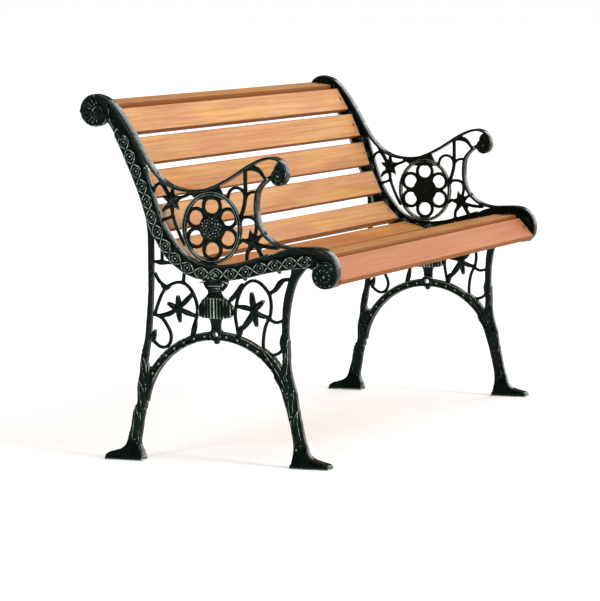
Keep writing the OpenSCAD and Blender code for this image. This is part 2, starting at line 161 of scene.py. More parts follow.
# ---------------------------------------------------------------- material nodes
class Nodes:
    """Builds a material out of short calls."""

    def __init__(self, name):
        self.material = bpy.data.materials.new(name)
        self.material.use_nodes = True
        self.tree = self.material.node_tree
        self.shader = self.tree.nodes["Principled BSDF"]

    def link(self, value, socket):
        if isinstance(value, bpy.types.NodeSocket):
            self.tree.links.new(value, socket)
        elif value is not None:
            socket.default_value = value

    def set(self, **inputs):
        for name, value in inputs.items():
            self.link(value, self.shader.inputs[name.replace("_", " ")])

    def attribute(self, name, output="Fac"):
        node = self.tree.nodes.new("ShaderNodeAttribute")
        node.attribute_name = name
        return node.outputs[output]

    def position(self):
        return self.tree.nodes.new("ShaderNodeTexCoord").outputs["Object"]

    def stretch(self, vector, scale):
        node = self.tree.nodes.new("ShaderNodeMapping")
        self.link(vector, node.inputs["Vector"])
        node.inputs["Scale"].default_value = scale
        return node.outputs["Vector"]

    def noise(self, vector, scale, detail=3.0, roughness=0.5, distortion=0.0):
        node = self.tree.nodes.new("ShaderNodeTexNoise")
        self.link(vector, node.inputs["Vector"])
        node.inputs["Scale"].default_value = scale
        node.inputs["Detail"].default_value = detail
        node.inputs["Roughness"].default_value = roughness
        node.inputs["Distortion"].default_value = distortion
        return node.outputs["Fac"]

    def bands(self, vector, scale, distortion, detail=2.0):
        node = self.tree.nodes.new("ShaderNodeTexWave")
        node.bands_direction = "Y"
        self.link(vector, node.inputs["Vector"])
        node.inputs["Scale"].default_value = scale
        node.inputs["Distortion"].default_value = distortion
        node.inputs["Detail"].default_value = detail
        node.inputs["Detail Scale"].default_value = 1.2
        return node.outputs["Fac"]

    def ramp(self, value, low, high, out_low=0.0, out_high=1.0):
        node = self.tree.nodes.new("ShaderNodeMapRange")
        node.interpolation_type = "SMOOTHSTEP"
        for name, number in zip(("Value", "From Min", "From Max", "To Min", "To Max"),
                                (value, low, high, out_low, out_high)):
            self.link(number, node.inputs[name])
        return node.outputs["Result"]

    def math(self, operation, a, b=None):
        node = self.tree.nodes.new("ShaderNodeMath")
        node.operation = operation
        self.link(a, node.inputs[0])
        self.link(b, node.inputs[1])
        return node.outputs[0]

    def mix(self, share, a, b):
        node = self.tree.nodes.new("ShaderNodeMix")
        node.data_type = "RGBA"
        self.link(share, node.inputs["Factor"])
        for value, socket in ((a, node.inputs[6]), (b, node.inputs[7])):
            self.link((*value, 1) if isinstance(value, tuple) else value, socket)
        return node.outputs[2]

    def bump(self, height, strength, distance, normal=None):
        node = self.tree.nodes.new("ShaderNodeBump")
        self.link(height, node.inputs["Height"])
        node.inputs["Strength"].default_value = strength
        node.inputs["Distance"].default_value = distance
        self.link(normal, node.inputs["Normal"])
        return node.outputs["Normal"]


def cast_paint():
    """Dark green-black gloss paint over cast iron. Its ridges are painted paler, partly as rubbed paint and
    partly as painted highlight; its hollows are painted darker as shade.
    """
    n = Nodes("cast_paint")
    place = n.position()
    cloud = n.noise(place, 14, 4, 0.6)
    grit = n.noise(place, 520, 3, 0.6)
    edge = n.attribute("edge")
    patchy = n.ramp(n.noise(place, 190, 4, 0.65), 0.36, 0.60, 0.35, 1.0)
    # Pale colour on the sharp ridges: a painted highlight for the glints on the relief, partly rubbed paint
    ridge_highlight_and_wear = n.math("MULTIPLY", n.ramp(edge, 0.22, 0.50), patchy)
    base = n.mix(n.ramp(cloud, 0.35, 0.7), (0.0010, 0.0026, 0.0016), (0.0026, 0.0062, 0.0040))
    # Darker colour in the hollows of the relief: painted shade
    hollow_shade = n.mix(n.ramp(edge, -0.6, -0.15, 0.8, 0.0), base, (0.0010, 0.0018, 0.0012))
    colour = n.mix(n.math("MULTIPLY", ridge_highlight_and_wear, 0.92), hollow_shade, (0.50, 0.62, 0.54))
    n.set(Base_Color=colour, Metallic=0.0,
          Roughness=n.ramp(n.noise(place, 60, 4, 0.6), 0.3, 0.7, 0.16, 0.30),
          Specular_IOR_Level=0.13, Specular_Tint=(0.70, 1.0, 0.80, 1.0))
    coarse = n.bump(n.noise(place, 170, 3, 0.6), 0.22, 0.0010)
    n.set(Normal=n.bump(grit, 0.3, 0.0004, coarse))
    return n.material


def timber():
    """Oiled tropical hardwood: straight grain, fine pores, cloudy pink and ochre, and narrow faces painted
    dark brown as shade.
    """
    n = Nodes("timber")
    board = n.attribute("board", "Vector")
    tone = n.attribute("tone")
    clouds = n.noise(n.stretch(board, (0.9, 6, 6)), 3.4, 4, 0.55, 0.3)
    streaks = n.noise(n.stretch(board, (1.0, 42, 42)), 4.2, 5, 0.62, 0.25)
    rings = n.bands(n.stretch(board, (0.6, 13, 9)), 1.6, 7.5)
    fibre = n.noise(n.stretch(board, (5, 260, 260)), 3.0, 3, 0.6)
    pores = n.ramp(n.noise(n.stretch(board, (16, 420, 420)), 2.6, 1, 0.5), 0.68, 0.78)
    light = n.mix(tone, (0.63, 0.345, 0.142), (0.50, 0.205, 0.054))
    deep = n.mix(tone, (0.54, 0.250, 0.112), (0.42, 0.155, 0.046))
    pink = n.mix(n.ramp(clouds, 0.34, 0.68), light, deep)
    ochre = n.mix(n.ramp(n.noise(n.stretch(board, (1.4, 9, 9)), 2.1, 3), 0.5, 0.75), pink,
                  (0.64, 0.335, 0.090))
    grained = n.mix(n.ramp(streaks, 0.42, 0.72, 0.0, 0.42), ochre, (0.34, 0.122, 0.034))
    ringed = n.mix(n.ramp(rings, 0.55, 1.0, 0.0, 0.22), grained, (0.36, 0.130, 0.034))
    fine = n.mix(n.ramp(fibre, 0.35, 0.75, 0.0, 0.16), ringed, (0.40, 0.17, 0.07))
    pored = n.mix(n.math("MULTIPLY", pores, 0.45), fine, (0.20, 0.075, 0.03))
    rosy = n.mix(n.attribute("rosy"), pored, (0.40, 0.135, 0.066))
    # The narrow faces of each board get dark brown: painted shade
    narrow = n.mix(n.math("MULTIPLY", n.attribute("narrow"), 0.90), rosy, (0.23, 0.066, 0.004))
    ends = n.mix(n.math("MULTIPLY", n.attribute("end"), 0.75), narrow, (0.17, 0.065, 0.022))
    n.set(Base_Color=ends, Roughness=n.ramp(streaks, 0.3, 0.75, 0.55, 0.72), Specular_IOR_Level=0.08)
    height = n.math("ADD", n.math("MULTIPLY", streaks, 0.6),
                    n.math("SUBTRACT", n.math("MULTIPLY", fibre, 0.5), n.math("MULTIPLY", pores, 0.8)))
    n.set(Normal=n.bump(height, 0.32, 0.0008))
    return n.material


def dark_steel():
    """Black oxide on bolts, washers and nuts, with turning marks and dull wear."""
    n = Nodes("dark_steel")
    place = n.position()
    haze = n.noise(place, 240, 4, 0.6)
    scratches = n.noise(n.stretch(place, (1, 1, 9)), 700, 2, 0.6)
    colour = n.mix(n.ramp(haze, 0.4, 0.68), (0.040, 0.043, 0.042), (0.105, 0.098, 0.085))
    n.set(Base_Color=colour, Metallic=0.75, Roughness=n.ramp(haze, 0.3, 0.7, 0.34, 0.55),
          Normal=n.bump(scratches, 0.25, 0.0003))
    return n.material


# ---------------------------------------------------------------- drawing in the frame's plane
CELL = 1.1         # cell of the casting's grid, mm
EDGE_BAND = 6.0                           # how far outside an outline its distance is kept, mm
NOTHING = -30.0                           # stands for far outside
# The grid's places reach a little beyond the end frame on every side
U = np.arange(-294.0, 270.0, CELL)
V = np.arange(-2.5 * CELL, 742.0, CELL)
X = np.arange(-2.5 * CELL, LEDGE_X + 3 * CELL, CELL)
UU, VV = (a.astype(np.float32) for a in np.meshgrid(U, V, indexing="ij"))


def smooth(points, steps=3):
    """A smooth curve through the points, with so many steps between two of them."""
    p = np.array(points, float)
    ends = np.vstack([p[:1], p, p[-1:]])
    out = []
    for a, b, c, d in zip(ends, ends[1:], ends[2:], ends[3:]):
        for k in range(steps):
            t = k / steps
            out.append((2 * b + (c - a) * t + (2 * a - 5 * b + 4 * c - d) * t * t
                        + (3 * b - a - 3 * c + d) * t ** 3) / 2)
    return np.array(out + [p[-1]])


def near(low, high):
    """The part of the grid between two corners (u, v), with a margin round it."""
    return tuple(slice(*np.searchsorted(axis, (start - EDGE_BAND, end + EDGE_BAND)))
                 for axis, start, end in zip((U, V), low, high))


def to_segment(a, b, where):
    """Distance from a segment, and how far along it the nearest point lies, from 0 to 1."""
    du, dv = b[0] - a[0], b[1] - a[1]
    pu, pv = UU[where] - a[0], VV[where] - a[1]
    t = np.clip((pu * du + pv * dv) / (du * du + dv * dv), 0, 1)
    return np.hypot(pu - t * du, pv - t * dv), t


# Every shape below is a map over the grid: how far inside the shape a place lies, negative outside.
def bar(points):
    """A smooth bar through points (u, v, width)."""
    inside = np.full(UU.shape, NOTHING, np.float32)
    line = smooth(points)
    for a, b in zip(line, line[1:]):
        half = max(a[2], b[2]) / 2
        where = near(np.minimum(a, b)[:2] - half, np.maximum(a, b)[:2] + half)
        away, t = to_segment(a, b, where)
        inside[where] = np.maximum(inside[where], (a[2] + (b[2] - a[2]) * t) / 2 - away)
    return inside


def rod(points, width):
    """The same through points (u, v), with one width all along."""
    return bar([(u, v, width) for u, v in points])


def outline(points):
    """A closed outline through points (u, v)."""
    p = np.array(points, float)
    inside = np.full(UU.shape, NOTHING, np.float32)
    where = near(p.min(axis=0), p.max(axis=0))
    away = np.full(UU[where].shape, -NOTHING)
    within = np.zeros(UU[where].shape, bool)
    for a, b in zip(p, np.roll(p, -1, axis=0)):
        away = np.minimum(away, to_segment(a, b, where)[0])
        if a[1] != b[1]:
            crossing = a[0] + (VV[where] - a[1]) / (b[1] - a[1]) * (b[0] - a[0])
            within ^= ((a[1] > VV[where]) != (b[1] > VV[where])) & (UU[where] < crossing)
    inside[where] = np.where(within, away, -away)
    return inside


def from_point(at):
    return np.hypot(UU - at[0], VV - at[1])


def angle_at(at):
    return np.arctan2(VV - at[1], UU - at[0])


def disc(at, radius):
    return radius - from_point(at)


def ring(at, radius, width):
    return width / 2 - np.abs(from_point(at) - radius + width / 2)


def star(at, radius, turn):
    """A five-pointed star with its first tip at an angle, in degrees."""
    tips = [(radius if i % 2 == 0 else 0.45 * radius, math.radians(turn + 36 * i)) for i in range(10)]
    return outline([(at[0] + r * math.cos(a), at[1] + r * math.sin(a)) for r, a in tips])


def smooth_max(a, b, blend):
    """The larger of two, with a round fillet where they meet."""
    share = np.clip(blend - np.abs(a - b), 0, None) / blend
    return np.maximum(a, b) + share * share * blend / 4


def joined(shapes, blend=2.0):
    """One shape out of several, with fillets between them."""
    total = shapes[0]
    for shape in shapes[1:]:
        total = smooth_max(total, shape, blend)
    return total


def ridge(away, half_width):
    """Round-topped ridge: 1 on its line, 0 half a width away."""
    return np.sqrt(np.clip(1 - (away / half_width) ** 2, 0, 1))


def ease(value, low, high):
    """0 below low and 1 above high, smooth between them."""
    t = np.clip((value - low) / (high - low), 0, 1)
    return t * t * (3 - 2 * t)


def along(line):
    """For every place near a line: how far along it lies, and how far to its left. Then its length."""
    reach, far = 22.0, 40.0
    steps = np.hypot(*np.diff(line, axis=0).T)
    start = np.concatenate([[0], np.cumsum(steps)])
    best = np.full(UU.shape, far)
    s, t = np.zeros(UU.shape), np.full(UU.shape, far)
    for a, b, length, begin in zip(line, line[1:], steps, start):
        where = near(np.minimum(a, b) - reach, np.maximum(a, b) + reach)
        away, share = to_segment(a, b, where)
        left = (VV[where] - a[1]) * (b[0] - a[0]) - (UU[where] - a[0]) * (b[1] - a[1])
        closer = away < best[where]
        best[where] = np.where(closer, away, best[where])
        s[where] = np.where(closer, begin + share * length, s[where])
        t[where] = np.where(closer, np.sign(left) * away, t[where])
    return s, t, start[-1]


# ---------------------------------------------------------------- the casting as a solid
class Casting:
    """A solid on a grid (u, v, x). Its value is positive inside and runs down through 0 at the surface."""

    def __init__(self):
        self.value = np.full((UU.size, X.size), NOTHING, np.float32)

    def add(self, inside, low, high, edge=2.0, blend=2.0):
        """Adds a shape between two depths, which may be maps, with round edges."""
        places = np.flatnonzero(inside.ravel() > -EDGE_BAND)
        low, high = (np.broadcast_to(h, UU.shape).ravel()[places][:, None] for h in (low, high))
        across = edge - inside.ravel()[places][:, None]
        depth = np.maximum(low + edge - X, X - high + edge)
        new = (edge - np.hypot(np.maximum(across, 0), np.maximum(depth, 0))
               - np.minimum(np.maximum(across, depth), 0))
        self.value[places] = smooth_max(self.value[places], new.astype(np.float32), blend)

    def bore(self, at, radius):
        """A round hole through the frame from face to face."""
        places = np.flatnonzero(from_point(at).ravel() < radius + EDGE_BAND)
        away = from_point(at).ravel()[places][:, None] - radius
        self.value[places] = np.minimum(self.value[places], away)

    def bore_ledge(self, slat):
        """The hole for a slat's bolt, at right angles to the slat's face."""
        u, v, slope = slat
        c, s = math.cos(math.radians(slope)), math.sin(math.radians(slope))
        side = (UU - u) * c + (VV - v) * s
        out = (VV - v) * c - (UU - u) * s
        hit = (np.abs(side) < BOLT_HOLE_R + EDGE_BAND) & (np.abs(out + SLAT_T + LEDGE_T / 2) < LEDGE_T)
        places = np.flatnonzero(hit.ravel())
        away = np.hypot(side.ravel()[places][:, None], X - BOLT_X) - BOLT_HOLE_R
        self.value[places] = np.minimum(self.value[places], away)

    def surface(self):
        """Vertices (x, u, v) in mm, and the faces between them, each seen from outside."""
        value = self.value.reshape(*UU.shape, X.size).transpose(2, 0, 1)
        n = value.shape
        strides = np.array([n[1] * n[2], n[2], 1])
        flat = value.ravel()
        solid = flat > 0
        cell_parts, point_parts, face_parts = [], [], []
        for axis in range(3):
            first = [slice(None)] * 3
            first[axis] = slice(0, -1)
            index = np.arange(flat.size).reshape(n)[tuple(first)].ravel()
            index = index[solid[index] != solid[index + strides[axis]]]
            here, there = flat[index], flat[index + strides[axis]]
            point = np.stack(np.unravel_index(index, n), axis=1).astype(float)
            point[:, axis] += here / (here - there)
            b, c = strides[(axis + 1) % 3], strides[(axis + 2) % 3]
            corners = np.stack([index - b - c, index - c, index, index - b], axis=1)
            cell_parts.append(corners.ravel())
            point_parts.append(np.repeat(point, 4, axis=0))
            face_parts.append(np.where(solid[index][:, None], corners, corners[:, ::-1]))
        cells, points = np.concatenate(cell_parts), np.concatenate(point_parts)
        used, place = np.unique(cells, return_inverse=True)
        count = np.bincount(place)
        vertices = np.stack([np.bincount(place, points[:, i]) / count for i in range(3)], axis=1)
        faces = np.searchsorted(used, np.concatenate(face_parts))
        vertices = vertices * CELL + (X[0], U[0], V[0])
        return vertices, faces


def edge_measure(vertices, faces):
    """How sharp the surface is at each vertex: positive on outer edges, negative in hollows."""
    pairs = np.concatenate([faces[:, [i, (i + 1) % 4]] for i in range(4)])
    both = np.concatenate([pairs, pairs[:, ::-1]])
    count = np.bincount(both[:, 0], minlength=len(vertices))[:, None]
    diagonals = np.cross(vertices[faces[:, 2]] - vertices[faces[:, 0]],
                         vertices[faces[:, 3]] - vertices[faces[:, 1]])
    normal = np.zeros_like(vertices)
    for i in range(4):
        for j in range(3):
            normal[:, j] += np.bincount(faces[:, i], diagonals[:, j], minlength=len(vertices))
    normal /= np.linalg.norm(normal, axis=1)[:, None] + 1e-9
    total = np.stack([np.bincount(both[:, 0], vertices[both[:, 1], i], minlength=len(vertices))
                      for i in range(3)], axis=1)
    sharp = -np.sum((total / count - vertices) * normal, axis=1) / CELL ** 2 * 4
    rounds_of_blur = 3
    for _ in range(rounds_of_blur):
        around = np.bincount(both[:, 0], sharp[both[:, 1]], minlength=len(vertices)) / count[:, 0]
        sharp = (sharp + around) / 2
    return np.clip(sharp, -1, 1)


# ---------------------------------------------------------------- outlines of an end frame
RAIL_T = 5.6                      # thickness of the strips, seen from the side
BAND_INNER = [(-228, 722), (-211, 709), (-196, 690), (-181, 667), (-166, 642), (-153, 618), (-147, 596),
              (-138, 567), (-128, 535), (-115, 496), (-104, 474), (-92, 456), (-78, 437), (-62, 420),
              (-45, 408), (-25, 400), (0, 396.5), (25, 398), (50, 402), (75, 408.5), (100, 415.5),
              (122, 423), (142, 432), (165, 436), (190, 436), (222, 434), (242, 428), (254, 417),
              (261, 402)]
BAND_OUTER = [(-245, 690), (-228, 679), (-213, 652), (-203, 632), (-194, 612), (-185, 592), (-176, 572),
              (-161, 535), (-150, 500), (-143, 480), (-135, 462), (-124, 443), (-112, 424), (-100, 409),
              (-86, 397), (-70, 386), (-52, 377), (-30, 371), (0, 369.5), (40, 371), (80, 378),
              (115, 386.5), (150, 392.5), (180, 397), (202, 399), (220, 396), (240, 392)]
BACK_SCROLL, BACK_SCROLL_R, BACK_EYE = (-257, 706), 33.0, (-250, 703)
ARM_SCROLL, ARM_SCROLL_R, ARM_EYE = (142, 577), 17.0, (141, 578)
ARM_LOBE, ARM_LOBE_R = (145, 594), 13.0
FRONT_SCROLL, FRONT_SCROLL_R, FRONT_EYE = (238.5, 386), 27.5, (237, 382)
ROSE, ROSE_SIZE, SEED_R = (-5, 474), (64.5, 73.0), 24.5
PETAL_PITCH, PETAL_RISE, PETAL_R = 40.0, 43.5, 22.0
ARCH, ARCH_R, ARCH_T = (1, 96.5), 162.0, 17.4
BOSS, BOSS_R, KNOB = (1, 261), 13.6, (2, 246.5)


def rails():
    """The strip down the back and out along the arm, and the one from the arm along the seat."""
    arm = rod([(-257, 736), (-241, 733), (-226, 725), (-211, 711), (-196, 692), (-181, 669), (-166, 644),
               (-151, 617), (-139, 598), (-126, 582), (-110, 567), (-95, 557.5), (-79, 551.5),
               (-59, 548), (-39, 547.5), (-19, 549.5), (-4, 554), (14, 561.5), (34, 571.5), (54, 583.5),
               (72, 595), (88, 603.5), (103, 610), (117, 614), (130, 614.5), (143, 610), (152, 601.5),
               (157, 589), (156.5, 576), (150, 566)], RAIL_T)
    seat = rod([(119, 573), (109, 565), (100, 555), (94.5, 543), (92.5, 525), (92.5, 508), (95, 494),
                (99.5, 480), (107, 467), (118, 455.5), (133, 445), (150, 440), (167, 437.5), (188, 438),
                (210, 438.5), (229, 437), (244, 431.5), (256, 420), (262.5, 405), (263.2, 390), (260, 376),
                (251, 366)], RAIL_T)
    return arm, seat


def guilloche(s, t, length):
    """Rings in a row along the band, laced together by two straps."""
    swing, ring_r, eye_r, fade = 11.0, 6.6, 2.4, 8
    pitch = length / round(length / 32.0)
    turn = (s / pitch) % 1 - 0.5
    away = np.hypot(turn * pitch, t)
    wave = swing * np.cos(math.pi * turn)
    slope = swing * math.pi / pitch * np.sin(math.pi * turn)
    strap = ridge((np.abs(t) - wave) / np.hypot(1, slope), 1.7)
    height = np.maximum(strap, 0.9 * ridge(away - ring_r, 1.5))
    height = np.maximum(height, 0.9 * ridge(away, eye_r))
    return height * ease(s, 0, fade) * ease(length - s, 0, fade)


def band(casting):
    """The ornamental band from the back scroll to the front roll, with a rail on its inner side."""
    half_width = 13.3
    inner, outer = smooth(BAND_INNER, 2), smooth(BAND_OUTER, 2)
    web = outline([*inner, *outer[::-1]])
    direction = np.gradient(outer, axis=0)
    left = np.stack([-direction[:, 1], direction[:, 0]], axis=1) / np.hypot(*direction.T)[:, None]
    middle = (outer + half_width * left)[4:-3]
    s, t, length = along(middle)
    lace = guilloche(s, t, length)
    rim = ridge(t + half_width - 1, 1.8)
    hollow = 1.6 * ease(web, 1.5, 6) * ease(t, 8, 14)
    outer_face = WEB_X[0] + 2.4 - 4.6 * np.maximum(lace, rim) + hollow
    inner_face = WEB_X[1] - 0.8 + 2.6 * np.maximum(lace, rim)
    casting.add(web, outer_face, inner_face, edge=2.2)
    edge_rail = rod([(-147, 592), (-140, 566), (-130, 535), (-117, 496), (-106, 474), (-94, 456), (-80, 438),
                     (-64, 421), (-46, 409.5), (-25, 402), (0, 398.5), (25, 400), (50, 404), (75, 410.5),
                     (100, 417.5), (122, 425)], 4.2)
    casting.add(edge_rail, 0.5, 16, edge=2.0, blend=1.5)


def shell(at, radius, eye):
    """Face of the back scroll: flutes that fan out from a curl, inside a rim."""
    away, angle = from_point(eye), angle_at(eye)
    fan = ease(-np.cos(angle), -0.35, 0.1) * ease(away, 10, 14) * ease(disc(at, radius), 2.5, 5.5)
    flute = np.abs(np.sin(angle * 9)) ** 0.7
    curl = np.maximum(ridge(away - 9.0 - angle * 0.9, 2.2), 0.7 * ridge(away - 2, 2.4))
    rim = ridge(disc(at, radius) - 2.0, 2.2)
    return 3.2 - 1.6 * rim - 2.8 * curl + 3.6 * fan * flute - 1.8 * fan


def volute(at, radius, eye, pitch, leaf=0.0):
    """Face of a small scroll: a ridge that winds out from an eye, inside a rim."""
    away, angle = from_point(eye), angle_at(eye)
    winding = np.abs(np.cos(math.pi * (away / pitch - angle / (2 * math.pi)))) ** 1.3
    inside = ease(disc(at, radius), 1.5, 4.5)
    lobes = leaf * np.abs(np.sin(angle * 5 + away * 0.35)) * ease(away, 6, 12)
    return 3.2 - 1.4 * (1 - inside) - 2.6 * winding * inside + lobes * inside - 1.2 * ridge(away, 4)


def scrolls(casting):
    for at, radius, face in (
            (BACK_SCROLL, BACK_SCROLL_R, shell(BACK_SCROLL, BACK_SCROLL_R, BACK_EYE)),
            (ARM_SCROLL, ARM_SCROLL_R, volute(ARM_SCROLL, ARM_SCROLL_R, ARM_EYE, 9.0)),
            (FRONT_SCROLL, FRONT_SCROLL_R, volute(FRONT_SCROLL, FRONT_SCROLL_R, FRONT_EYE, 11.5, 1.3))):
        casting.add(disc(at, radius), face, RAIL_X - face * 0.6, edge=2.4)
    lobe = disc(ARM_LOBE, ARM_LOBE_R)
    casting.add(lobe, 3.4 - 1.6 * ridge(lobe - 2, 2.2), RAIL_X - 2, edge=2.4)


def vase(casting):
    """Ribbed vase between the seat and the arch, with rings round its neck."""
    sides = [(264, -8, 12), (278, -8.5, 12), (288, -10, 13), (293, -12, 15), (294.5, -25, 28),
             (297, -32, 35), (302, -34.5, 38.5), (308, -35, 39), (318, -33.5, 37.5), (327, -29.5, 32),
             (333, -24, 23), (337, -19, 18), (343, -15, 14), (350, -14, 13.5), (361, -15, 15),
             (366, -21, 21), (378, -26, 27)]
    v, left, right = np.array(sides).T
    body = outline([*zip(left, v), *zip(right[::-1], v[::-1])])
    left, right = np.interp(VV, v, left), np.interp(VV, v, right)
    across = np.clip((UU - (left + right) / 2) / ((right - left) / 2), -1, 1)
    belly = ease(right - left, 30, 46) * ease(-VV, -350, -340)
    rib_pitch = 6.4 + 0.6 * (right - left) / 70
    ribs = np.abs(np.cos(math.pi * (UU - 2) / rib_pitch)) * (VV < 346) * (VV > 268)
    roundness = np.sqrt(1 - 0.96 * across * across)
    rings = joined([ridge(VV - level, 1.7) for level in (348.5, 353.5, 358.5, 363.5)])
    height = 1.5 + 5.0 * belly * roundness + (1.2 + 2.6 * belly) * ribs + 3.4 * rings
    casting.add(body, 11 - height, 12 + height * 0.7, edge=2.4)
    for side in (-1, 1):
        leaf = bar([(2 + side * 14, 350, 5), (2 + side * 21, 360, 8), (2 + side * 24, 371, 7)])
        casting.add(leaf, 5.5, 16, edge=2.4)
    crown = rod([(-29, 365), (-15, 371), (-7, 379), (0, 385), (8, 379), (17, 371), (30, 366)], 3.6)
    casting.add(crown, 0.6, 12, edge=1.4)


def seed_head(casting):
    """Domed seed head: small knobs set in a spiral, as in a sunflower."""
    away = from_point(ROSE)
    dome = np.sqrt(np.clip(1 - (away / SEED_R) ** 2, 0, 1))
    knobs = np.zeros(UU.shape)
    count, golden = 44, math.radians(137.5)
    for i in range(count):
        r, a = (SEED_R - 2) * math.sqrt((i + 0.5) / count), golden * i
        knob = ridge(from_point((ROSE[0] + r * math.cos(a), ROSE[1] + r * math.sin(a))), 2.7)
        knobs = np.maximum(knobs, knob)
    outer_face = 9.0 - 5.0 * dome - 1.7 * knobs
    inner_face = 14.5 + 2.2 * dome + 1.0 * knobs
    casting.add(disc(ROSE, SEED_R), outer_face, inner_face, edge=2.2)


def rose(casting):
    """Six petal rings round a disc, inside an oval ring with a groove in it."""
    rim_t = 8
    half_u, half_v = ROSE_SIZE[0] - rim_t / 2, ROSE_SIZE[1] - rim_t / 2
    rim = rod([(ROSE[0] + half_u * math.cos(a), ROSE[1] + half_v * math.sin(a))
               for a in np.radians(range(0, 375, 15))], rim_t)
    groove = ease(rim, 2.2, 3.6)
    casting.add(rim, TRACERY_X[0] - 2.5 + 2.4 * groove, TRACERY_X[1] + 1.0 - 1.5 * groove, edge=2.0)
    for i in range(6):
        a = math.radians(90 + 60 * i)
        pitch = PETAL_RISE if i % 3 == 0 else PETAL_PITCH
        at = (ROSE[0] + pitch * math.cos(a), ROSE[1] + pitch * math.sin(a))
        casting.add(ring(at, PETAL_R, 7.4), *TRACERY_X, edge=2.4)
    casting.add(disc(ROSE, SEED_R + 4), TRACERY_X[0] + 1.5, TRACERY_X[1] - 1, edge=2)
    web = outline([(-62, 546), (-38, 530), (26, 530), (12, 558), (-10, 549), (-36, 545)])
    casting.add(web, TRACERY_X[0] + 1, TRACERY_X[1] - 1, edge=2)


def stars(casting):
    """Two stars that rise to a ridge along each arm."""
    for at, turn in (((-91, 528), 90), ((83, 449), 33)):
        shape = star(at, 26, turn)
        rise = np.clip(shape, 0, 8)
        casting.add(shape, 9.0 - 0.75 * rise, 15.0 + 0.4 * rise, edge=1.0)


def arm_tracery():
    """Stems and loops between the arm, the rose and the band."""
    bends = [
        ([(-133, 545), (-128, 556), (-118, 561), (-109, 555), (-102, 544), (-97, 536)], 6.1),
        ([(-124, 580), (-113, 562), (-101, 541)], 7.6),
        ([(-91, 545), (-90, 558)], 6.6),
        ([(-75, 533), (-60, 538), (-46, 546)], 6.6),
        ([(-92, 515), (-91, 500), (-85, 480), (-74, 455), (-66, 440)], 6.6),
        ([(-112, 505), (-107, 514), (-98, 516), (-92, 510)], 6.1),
        ([(-111, 489), (-101, 492), (-90, 496)], 6.1),
        ([(68, 590), (68, 568), (68, 545), (66, 524), (60, 504), (56, 496)], 7.6),
        ([(29, 532), (34, 548), (47, 555), (60, 551), (68, 540)], 6.1),
        ([(69, 538), (79, 546), (95, 547)], 6.1),
        ([(56, 488), (63, 496), (76, 497), (88, 492), (91, 478), (88, 462)], 6.6),
        ([(102, 461), (111, 466)], 6.6),
        ([(76, 436), (70, 424), (70, 410)], 6.6),
        ([(62, 452), (54, 446)], 6.6),
        ([(92, 438), (99, 426), (104, 418)], 8.6),
        ([(92, 444), (112, 439), (136, 437)], 7.6),
        ([(112, 569), (122, 576), (130, 576)], 8.6)]
    return [rod(*bend) for bend in bends] + [
        bar([(70, 592, 7), (86, 594, 11), (100, 588, 9), (110, 575, 6), (117, 573, 6)])]


def vines():
    """Stems between the legs, the arch and the band."""
    bends = [
        ([(-134, 298), (-124, 325), (-113, 346), (-97, 359), (-77, 364), (-60, 357), (-47, 339),
          (-40, 317), (-41, 297), (-47, 279), (-52, 260)], 6.6),
        ([(-70, 363), (-67, 388)], 6.6),
        ([(-132, 380), (-122, 364), (-105, 352)], 6.6),
        ([(-134, 298), (-117, 290), (-103, 270), (-98, 254), (-102, 239), (-113, 232), (-125, 234),
          (-136, 243)], 6.6),
        ([(-132, 404), (-96, 402)], 6.6),
        ([(-116, 404), (-116, 432)], 6.1),
        ([(50, 258), (46, 280), (43, 300), (45, 320), (52, 343), (64, 362), (80, 371), (95, 368),
          (108, 357), (118, 342), (121, 322), (119, 305), (116, 296)], 6.6),
        ([(34, 332), (46, 345), (58, 361)], 9.6),
        ([(119, 347), (131, 355), (139, 368), (148, 374), (164, 376)], 7.6),
        ([(116, 297), (127, 290), (140, 291), (153, 298)], 6.6),
        ([(116, 297), (108, 280), (104, 260), (103, 240), (108, 228), (118, 224), (131, 226),
          (142, 233), (152, 248)], 6.6)]
    return [rod(*bend) for bend in bends]


def leaves():
    """Pointed petals of the two flowers, and the buds on the vines: bars that swell and narrow."""
    rear, front = (-81, 311), (83, 312)
    petals = [(rear, (-81, 322, 12), (-82, 334, 8)), (rear, (-66, 325, 11), (-50, 341, 8)),
              (rear, (-62, 303, 11), (-43, 297, 6)), (rear, (-80, 298, 11), (-78, 285, 6)),
              (rear, (-104, 299, 11), (-124, 296, 6)), (rear, (-92, 315, 11), (-102, 320, 8)),
              (front, (81, 327, 13), (79, 345, 8)), (front, (93, 321, 13), (103, 330, 8)),
              (front, (65, 317, 11), (47, 319, 6)), (front, (72, 291, 13), (56, 272, 7)),
              (front, (86, 297, 12), (89, 282, 7)), (front, (99, 302, 10), (116, 299, 6))]
    shapes = [bar([(*start, 7), middle, tip]) for start, middle, tip in petals]
    shapes += [disc(rear, 7), disc(front, 7.5)]
    buds = [
        [(-138, 244, 6), (-137, 254, 12), (-133, 266, 5)],
        [(-50, 258, 6), (-47, 270, 11), (-43, 284, 6)],
        [(51, 258, 7), (53, 268, 11), (55, 279, 5)],
        [(144, 238, 6), (144, 250, 11), (144, 263, 5)],
        [(-128, 404, 6), (-118, 403, 11), (-106, 402, 6)],
        [(-116, 356, 6), (-108, 352, 11), (-100, 356, 6)],
        [(119, 348, 5), (130, 354, 9), (141, 368, 11), (150, 375, 6)]]
    return shapes + [bar(bud) for bud in buds]


